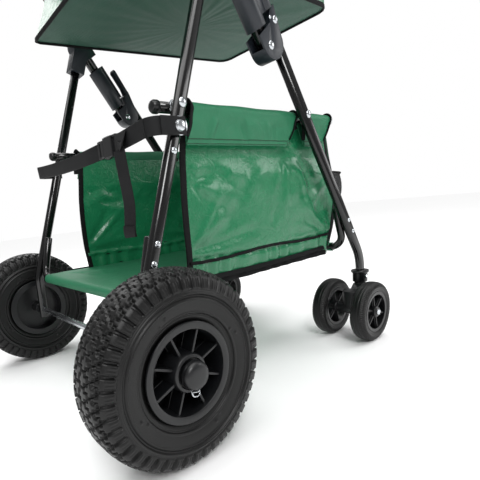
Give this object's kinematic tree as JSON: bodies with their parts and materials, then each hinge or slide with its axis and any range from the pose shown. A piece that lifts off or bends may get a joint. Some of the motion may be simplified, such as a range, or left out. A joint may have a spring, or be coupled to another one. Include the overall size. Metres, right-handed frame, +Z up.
{
  "type": "folding beach cart",
  "caption": "Folding beach cart with big rear wheels, twin front casters, a black tube frame, green fabric cargo sling and upper basket, and a load strap",
  "frame": {"origin": "the middle of the base of the bounding box, on the floor", "axes": "+X forward towards the casters, +Y to the cart's left, +Z up"},
  "size_m": [0.7426, 0.6876, 0.978],
  "materials": {
    "black_frame": "gloss black powder coat",
    "hinge_plastic": "satin moulded, dark blue-grey",
    "black_plastic": "satin moulded black",
    "tread_rubber": "matt moulded rubber",
    "grip_foam": "soft closed-cell foam",
    "zinc_steel": "bright zinc plate",
    "green_cloth": "coated woven cloth, green",
    "mesh_cloth": "black open mesh",
    "webbing": "woven webbing, black"
  },
  "bodies": {
    "rear_frame": {"rear_leg_right": "black_frame", "rear_leg_left": "black_frame", "rear_u_bar": "black_frame", "handle_loop": "black_frame", "handle_grip": "grip_foam", "leg_knuckle_right": "hinge_plastic", "leg_knuckle_left": "hinge_plastic", "rear_axle": "zinc_steel", "rail_rivet_right": "zinc_steel", "rail_rivet_left": "zinc_steel", "hoop_bolt_right": "zinc_steel", "hoop_bolt_left": "zinc_steel", "strap_bolt_right": "zinc_steel", "strap_bolt_left": "zinc_steel", "strap_right": "webbing", "strap_left": "webbing", "buckle_socket": "black_plastic", "buckle_plug": "black_plastic", "sling_deck": "green_cloth", "sling_side_right": "green_cloth", "sling_side_left": "green_cloth"},
    "front_frame": {"front_leg_right": "black_frame", "front_leg_left": "black_frame", "hinge_bracket_right": "hinge_plastic", "hinge_bracket_left": "hinge_plastic", "hinge_pin_right": "zinc_steel", "hinge_pin_left": "zinc_steel", "caster_collar_right": "black_plastic", "caster_collar_left": "black_plastic", "rail_pin_right": "zinc_steel", "rail_pin_left": "zinc_steel", "front_u_bar": "black_frame", "sling_front": "green_cloth", "front_pocket": "mesh_cloth"},
    "rail_right": {"side_rail_right": "black_frame", "rail_cap_right": "black_plastic"},
    "latch_right": {"latch_sleeve_right": "hinge_plastic"},
    "rear_wheel_right": {"rear_tyre_right": "tread_rubber", "rear_rim_right": "black_plastic", "hub_cap_right": "black_plastic"},
    "caster_right": {"caster_fork_right": "black_plastic", "caster_axle_right": "zinc_steel"},
    "caster_wheel_right_outer": {"caster_tyre_right_outer": "tread_rubber", "caster_rim_right_outer": "black_plastic"},
    "caster_wheel_right_inner": {"caster_tyre_right_inner": "tread_rubber", "caster_rim_right_inner": "black_plastic"},
    "rail_left": {"side_rail_left": "black_frame", "rail_cap_left": "black_plastic"},
    "latch_left": {"latch_sleeve_left": "hinge_plastic"},
    "rear_wheel_left": {"rear_tyre_left": "tread_rubber", "rear_rim_left": "black_plastic", "hub_cap_left": "black_plastic"},
    "caster_left": {"caster_fork_left": "black_plastic", "caster_axle_left": "zinc_steel"},
    "caster_wheel_left_outer": {"caster_tyre_left_outer": "tread_rubber", "caster_rim_left_outer": "black_plastic"},
    "caster_wheel_left_inner": {"caster_tyre_left_inner": "tread_rubber", "caster_rim_left_inner": "black_plastic"},
    "basket_frame": {"basket_hoop": "black_frame", "basket": "green_cloth"}
  },
  "joints": [
    {"name": "front_fold", "type": "hinge", "parent": "rear_frame", "child": "front_frame", "pos_m": [0.04967, 0, 0.5685], "axis": [0, 1, 0], "range_deg": [0, 36], "deforming": ["sling_deck", "sling_side_right", "sling_side_left"]},
    {"name": "rail_turn_right", "type": "hinge", "parent": "front_frame", "child": "rail_right", "pos_m": [0.1547, -0.207, 0.472], "axis": [0, 1, 0], "range_deg": [-25.5, 0]},
    {"name": "rail_turn_left", "type": "hinge", "parent": "front_frame", "child": "rail_left", "pos_m": [0.1547, 0.207, 0.472], "axis": [0, 1, 0], "range_deg": [-25.5, 0]},
    {"name": "latch_slide_right", "type": "slide", "parent": "rear_frame", "child": "latch_right", "axis": [-0.5508, 0, 0.8346], "range_m": [0, 0.02]},
    {"name": "latch_slide_left", "type": "slide", "parent": "rear_frame", "child": "latch_left", "axis": [-0.5508, 0, 0.8346], "range_m": [0, 0.02]},
    {"name": "basket_fold", "type": "hinge", "parent": "rear_frame", "child": "basket_frame", "pos_m": [-0.15064, 0, 0.872], "axis": [0, 1, 0], "range_deg": [0, 45], "deforming": ["basket"]},
    {"name": "rear_wheel_turn_right", "type": "hinge", "parent": "rear_frame", "child": "rear_wheel_right", "pos_m": [-0.24133, -0.292, 0.13], "axis": [0, 1, 0], "continuous": true},
    {"name": "caster_swivel_right", "type": "hinge", "parent": "front_frame", "child": "caster_right", "pos_m": [0.34667, -0.23, 0.11], "axis": [0, 0, 1], "continuous": true},
    {"name": "caster_wheel_turn_right_outer", "type": "hinge", "parent": "caster_right", "child": "caster_wheel_right_outer", "pos_m": [0.30367, -0.2755, 0.065], "axis": [0, 1, 0], "continuous": true},
    {"name": "caster_wheel_turn_right_inner", "type": "hinge", "parent": "caster_right", "child": "caster_wheel_right_inner", "pos_m": [0.30367, -0.1845, 0.065], "axis": [0, 1, 0], "continuous": true},
    {"name": "rear_wheel_turn_left", "type": "hinge", "parent": "rear_frame", "child": "rear_wheel_left", "pos_m": [-0.24133, 0.292, 0.13], "axis": [0, 1, 0], "continuous": true},
    {"name": "caster_swivel_left", "type": "hinge", "parent": "front_frame", "child": "caster_left", "pos_m": [0.34667, 0.23, 0.11], "axis": [0, 0, 1], "continuous": true},
    {"name": "caster_wheel_turn_left_outer", "type": "hinge", "parent": "caster_left", "child": "caster_wheel_left_outer", "pos_m": [0.30367, 0.2755, 0.065], "axis": [0, 1, 0], "continuous": true},
    {"name": "caster_wheel_turn_left_inner", "type": "hinge", "parent": "caster_left", "child": "caster_wheel_left_inner", "pos_m": [0.30367, 0.1845, 0.065], "axis": [0, 1, 0], "continuous": true}
  ],
  "couplings": [
    {"joint": "rail_turn_right", "follows": "front_fold", "ratio": -0.6876},
    {"joint": "rail_turn_left", "follows": "front_fold", "ratio": -0.6876}
  ]
}
